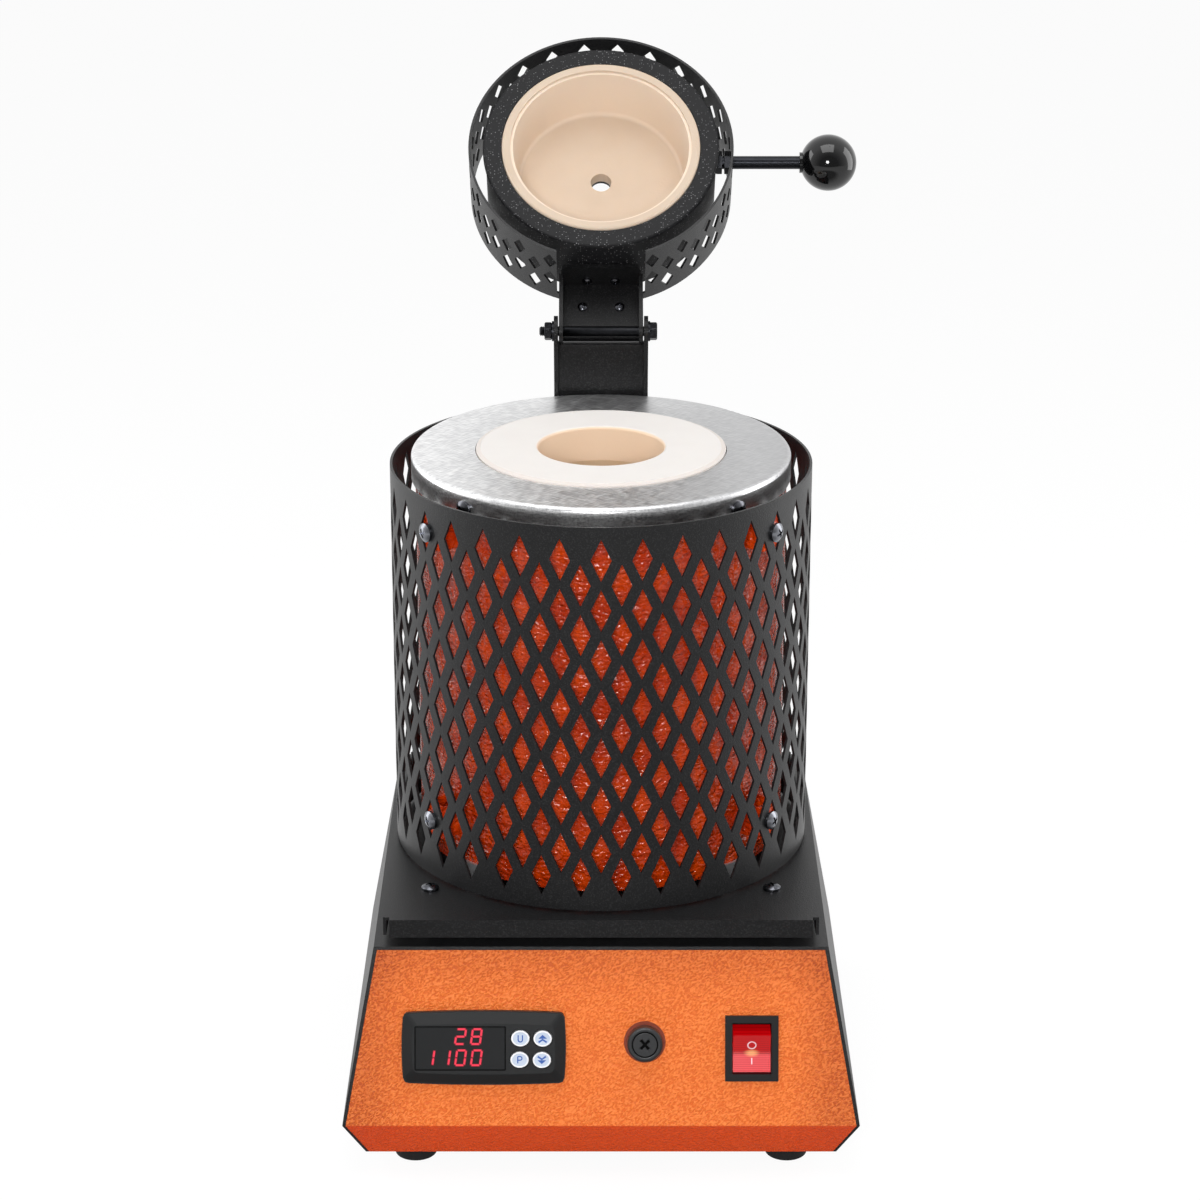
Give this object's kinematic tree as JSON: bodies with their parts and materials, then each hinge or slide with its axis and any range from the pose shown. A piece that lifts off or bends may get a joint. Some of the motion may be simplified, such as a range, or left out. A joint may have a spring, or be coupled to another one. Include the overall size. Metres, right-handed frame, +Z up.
{
  "type": "electric melting furnace",
  "caption": "Small benchtop electric melting furnace: perforated round body with a ceramic mouth, hinged perforated lid with side handle, and a sloped control case.",
  "frame": {"origin": "on the axis of the furnace chamber, at the level of the soles of the feet", "axes": "+X to the right seen from the control panel, +Y to the rear, towards the hinge, +Z up along the chamber axis"},
  "size_m": [0.2506, 0.3433, 0.4817],
  "materials": {
    "orange_powder_coat": "textured powder coat",
    "black_powder_coat": "fine textured powder coat",
    "orange_hammered_paint": "glossy hammered paint",
    "stainless_steel": "satin brushed",
    "zinc_plated_steel": "bright zinc plate",
    "blackened_steel": "black oxide",
    "white_ceramic": "fired matt ceramic",
    "fire_clay": "fired matt clay",
    "ceramic_fibre": "matt fibre",
    "resistance_wire": "oxidised wire",
    "black_plastic": "fine matt",
    "black_gloss_plastic": "polished",
    "display_window": "dark smoked",
    "display_red": "lit segments",
    "key_plastic": "fine matt",
    "orange_plastic": "fine matt",
    "red_fibre": "matt fibre",
    "glass_tube": "clear",
    "rocker_red": "translucent, lit",
    "ivory_plastic": "fine matt",
    "black_rubber": "matt"
  },
  "bodies": {
    "furnace": {"front_panel": "orange_powder_coat", "case_cover": "black_powder_coat", "rear_panel": "black_powder_coat", "base_plate": "black_powder_coat", "case_screws": "zinc_plated_steel", "feet": "black_rubber", "foot_screws": "zinc_plated_steel", "tray": "black_powder_coat", "tray_spacers": "zinc_plated_steel", "tray_screws": "blackened_steel", "lead_bushings": "white_ceramic", "drum": "orange_hammered_paint", "drum_feet": "stainless_steel", "shell": "black_powder_coat", "shell_brackets": "orange_hammered_paint", "shell_screws": "blackened_steel", "top_cover": "stainless_steel", "cover_screws": "blackened_steel", "top_ring": "white_ceramic", "muffle": "fire_clay", "heating_coil": "resistance_wire", "element_leads": "resistance_wire", "insulation_blanket": "ceramic_fibre", "insulation_floor": "ceramic_fibre", "thermocouple": "stainless_steel", "hinge_post": "black_powder_coat", "post_spacers": "zinc_plated_steel", "post_screws": "blackened_steel", "hinge_bolt": "blackened_steel", "hinge_nut": "blackened_steel", "hinge_washers": "blackened_steel", "controller_bezel": "black_plastic", "controller_window": "display_window", "display_digits": "display_red", "controller_case": "black_plastic", "controller_clamps": "orange_plastic", "fuse_body": "black_plastic", "fuse_nut": "black_plastic", "fuse_washer": "red_fibre", "switch_frame": "black_plastic", "relay": "ivory_plastic", "terminal_block": "ivory_plastic", "cord_gland": "black_plastic"},
    "lid": {"lid_arm": "black_powder_coat", "arm_screws": "zinc_plated_steel", "lid_casing": "black_powder_coat", "lid_insulation": "ceramic_fibre", "lid_insert": "fire_clay", "lid_band": "black_powder_coat", "band_bracket": "black_powder_coat", "handle_rod": "blackened_steel", "handle_nuts": "blackened_steel", "handle_knob": "black_gloss_plastic"},
    "key_set": {"key_set": "key_plastic"},
    "key_up": {"key_up": "key_plastic"},
    "key_program": {"key_program": "key_plastic"},
    "key_down": {"key_down": "key_plastic"},
    "rocker": {"switch_rocker": "rocker_red"},
    "fuse_carrier": {"fuse_link": "glass_tube"},
    "fuse_cap": {"fuse_cap": "black_gloss_plastic"}
  },
  "joints": [
    {"name": "lid_hinge", "type": "hinge", "parent": "furnace", "child": "lid", "pos_m": [0, 0.09, 0.353], "axis": [1, 0, 0], "range_deg": [0, 137]},
    {"name": "rocker_pivot", "type": "hinge", "parent": "furnace", "child": "rocker", "pos_m": [0.0707, -0.11091, 0.06101], "axis": [1, 0, 0], "range_deg": [-20, 0]},
    {"name": "key_set_press", "type": "slide", "parent": "furnace", "child": "key_set", "axis": [0, 0.9594, -0.2822], "range_m": [0, 0.0008], "stiffness_N_per_m": 400, "springref_m": -0.0004},
    {"name": "key_up_press", "type": "slide", "parent": "furnace", "child": "key_up", "axis": [0, 0.9594, -0.2822], "range_m": [0, 0.0008], "stiffness_N_per_m": 400, "springref_m": -0.0004},
    {"name": "key_program_press", "type": "slide", "parent": "furnace", "child": "key_program", "axis": [0, 0.9594, -0.2822], "range_m": [0, 0.0008], "stiffness_N_per_m": 400, "springref_m": -0.0004},
    {"name": "key_down_press", "type": "slide", "parent": "furnace", "child": "key_down", "axis": [0, 0.9594, -0.2822], "range_m": [0, 0.0008], "stiffness_N_per_m": 400, "springref_m": -0.0004},
    {"name": "fuse_pull", "type": "slide", "parent": "furnace", "child": "fuse_carrier", "axis": [0, -0.9594, 0.2822], "range_m": [0, 0.036]},
    {"name": "fuse_twist", "type": "hinge", "parent": "fuse_carrier", "child": "fuse_cap", "pos_m": [0.0205, -0.12062, 0.06699], "axis": [0, -0.9594, 0.2822], "range_deg": [0, 90]}
  ]
}
